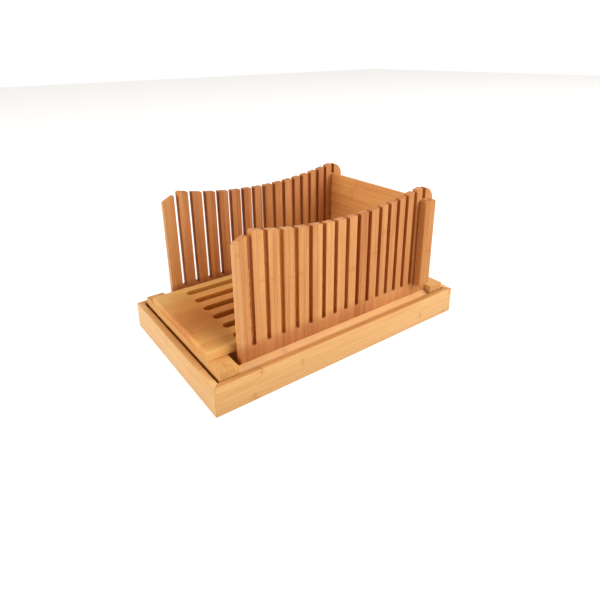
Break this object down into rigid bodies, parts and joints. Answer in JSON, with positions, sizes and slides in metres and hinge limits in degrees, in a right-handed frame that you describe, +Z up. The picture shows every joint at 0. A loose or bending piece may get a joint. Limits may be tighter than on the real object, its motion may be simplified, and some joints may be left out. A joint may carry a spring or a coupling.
{
  "type": "bread slicer guide",
  "caption": "Bamboo bread slicing guide: slotted folding side guides, a slotted board and a movable back board on a frame that sits in a crumb tray.",
  "frame": {"origin": "middle of the tray's underside, at the floor", "axes": "+X to the right guide, +Y from the open front to the back board along the tray's long side, +Z up"},
  "size_m": [0.226, 0.37, 0.1849],
  "materials": {
    "tray_bamboo": "satin oiled, honey coloured, long grain",
    "tray_floor_bamboo": "satin, wide pressed strips",
    "frame_bamboo": "satin, honey coloured",
    "guide_bamboo": "satin, upright grain in glued strips",
    "rail_bamboo": "satin, long grain",
    "board_bamboo": "satin, long strips of slightly different tone",
    "back_bamboo": "satin, level grain",
    "post_bamboo": "satin, upright grain",
    "pin_steel": "plain drawn wire"
  },
  "bodies": {
    "tray": {"tray_front_wall": "tray_bamboo", "tray_rear_wall": "tray_bamboo", "tray_left_wall": "tray_bamboo", "tray_right_wall": "tray_bamboo", "tray_floor": "tray_floor_bamboo"},
    "base_frame": {"front_crossbar": "frame_bamboo", "rear_crossbar": "frame_bamboo", "left_stretcher": "frame_bamboo", "right_stretcher": "frame_bamboo", "left_hinge_pins": "pin_steel", "right_hinge_pins": "pin_steel"},
    "left_guide": {"left_guide_panel": "guide_bamboo", "left_guide_rail": "rail_bamboo"},
    "right_guide": {"right_guide_panel": "guide_bamboo", "right_guide_rail": "rail_bamboo"},
    "cutting_board": {"slotted_board": "board_bamboo", "front_batten": "frame_bamboo", "rear_batten": "frame_bamboo"},
    "back_board": {"back_panel": "back_bamboo", "back_left_post": "post_bamboo", "back_right_post": "post_bamboo"}
  },
  "joints": [
    {"name": "frame_lift", "type": "slide", "parent": "tray", "child": "base_frame", "axis": [0, 0, 1], "range_m": [0, 0.06]},
    {"name": "right_guide_hinge", "type": "hinge", "parent": "base_frame", "child": "right_guide", "pos_m": [0.0899, 0, 0.0178], "axis": [0, -1, 0], "range_deg": [0, 10.2]},
    {"name": "left_guide_hinge", "type": "hinge", "parent": "base_frame", "child": "left_guide", "pos_m": [-0.0899, 0, 0.03], "axis": [0, 1, 0], "range_deg": [0, 15.3]},
    {"name": "board_lift", "type": "slide", "parent": "base_frame", "child": "cutting_board", "axis": [0, 0, 1], "range_m": [0, 0.16]},
    {"name": "back_board_lift", "type": "slide", "parent": "cutting_board", "child": "back_board", "axis": [0, 0, 1], "range_m": [0, 0.14]}
  ]
}
